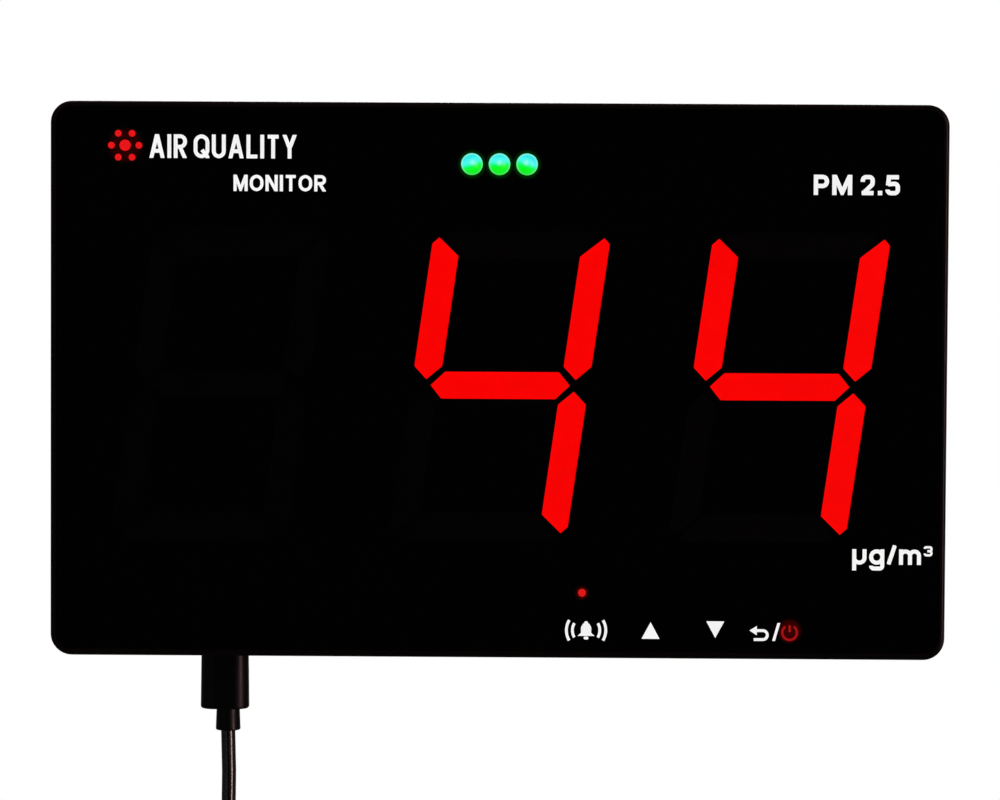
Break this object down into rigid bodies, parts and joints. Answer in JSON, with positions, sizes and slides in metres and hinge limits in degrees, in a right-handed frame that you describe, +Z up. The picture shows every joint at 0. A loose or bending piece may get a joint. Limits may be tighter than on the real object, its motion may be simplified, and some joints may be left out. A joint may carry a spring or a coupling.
{
  "type": "air quality monitor",
  "caption": "Wall-hung fine-dust monitor: black glazed front with big red seven-segment digits, touch keys, a laser dust sensor with fan, and a pull-out USB power lead.",
  "frame": {"origin": "midway between the entry holes of the two wall keyholes, in the plane of the wall", "axes": "+X right as seen from the front, +Y into the wall, +Z up"},
  "size_m": [0.2084, 0.0248, 0.3157],
  "materials": {
    "bezel_black": "gloss black moulded ABS",
    "housing_black": "fine textured black ABS",
    "pane_clear": "clear polished acrylic with a grey tint",
    "film_black": "black printed film",
    "tape_black": "black double-sided tape",
    "reflector_black": "black moulded reflector",
    "lens_lit": "lit red diffuser",
    "lens_dark": "unlit dark diffuser",
    "print_white": "white screen print",
    "print_red": "red screen print",
    "lamp_green": "lit green lamp in clear epoxy",
    "lamp_red": "lit red lamp",
    "board_green": "green solder mask",
    "chip_black": "black moulded chip body",
    "chip_pale": "pale lamp chips",
    "metal_tin": "tinned steel",
    "metal_screw": "black zinc-plated steel",
    "metal_nickel": "nickel plate",
    "foam_grey": "grey closed-cell foam",
    "bush_brass": "sintered bronze bush",
    "fan_black": "black fan moulding",
    "ceramic_pale": "pale moulded connector",
    "label_silver": "blank satin silver label",
    "mesh_grey": "woven dust mesh",
    "wire_jacket": "grey ribbon jacket",
    "cord_black": "black PVC cord jacket",
    "plug_black": "black soft PVC moulding",
    "tie_black": "black hook-and-loop strap",
    "tongue_white": "white connector insulator"
  },
  "bodies": {
    "case": {"alarm_buzzer": "chip_black", "alarm_lamp": "lamp_red", "board_header": "chip_black", "board_plug": "ceramic_pale", "capacitors": "metal_tin", "case_screws": "metal_screw", "clock_crystal": "metal_tin", "dark_lenses": "lens_dark", "digit_reflector_left": "reflector_black", "digit_reflector_middle": "reflector_black", "digit_reflector_right": "reflector_black", "display_board": "board_green", "display_chips": "chip_pale", "display_drivers": "chip_black", "display_screws": "metal_screw", "dust_mesh": "mesh_grey", "fan_bush": "bush_brass", "fan_frame": "fan_black", "front_bezel": "bezel_black", "front_pane": "pane_clear", "inlet_foam": "foam_grey", "key_print": "print_white", "laser_diode": "bush_brass", "lit_lenses": "lens_lit", "main_board": "board_green", "main_board_screws": "metal_screw", "mask_film": "film_black", "pane_tape": "tape_black", "photodiode": "chip_black", "power_coil": "chip_black", "power_socket": "metal_nickel", "processor": "chip_black", "rating_label": "label_silver", "rear_housing": "housing_black", "red_print": "print_red", "regulator_chips": "chip_black", "sensor_board": "board_green", "sensor_case": "chip_black", "sensor_harness": "wire_jacket", "sensor_lid": "metal_tin", "sensor_pad": "foam_grey", "sensor_plug": "ceramic_pale", "status_lamps": "lamp_green", "touch_board": "board_green", "touch_chip": "chip_black", "touch_pads": "foam_grey", "white_print": "print_white"},
    "fan": {"fan_rotor": "fan_black"},
    "power_lead": {"plug_body": "plug_black", "plug_collar": "plug_black", "plug_shell": "metal_nickel", "power_cord": "cord_black", "cord_tail": "cord_black", "cord_coil": "cord_black", "cord_tie": "tie_black", "usb_collar": "plug_black", "usb_body": "plug_black", "usb_shell": "metal_nickel", "usb_tongue": "tongue_white"}
  },
  "joints": [
    {"name": "fan_spin", "type": "hinge", "parent": "case", "child": "fan", "pos_m": [0.0797, -0.0065, -0.053], "axis": [0, -1, 0], "continuous": true},
    {"name": "plug_pull", "type": "slide", "parent": "case", "child": "power_lead", "axis": [0, 0, -1], "range_m": [0, 0.012]}
  ]
}
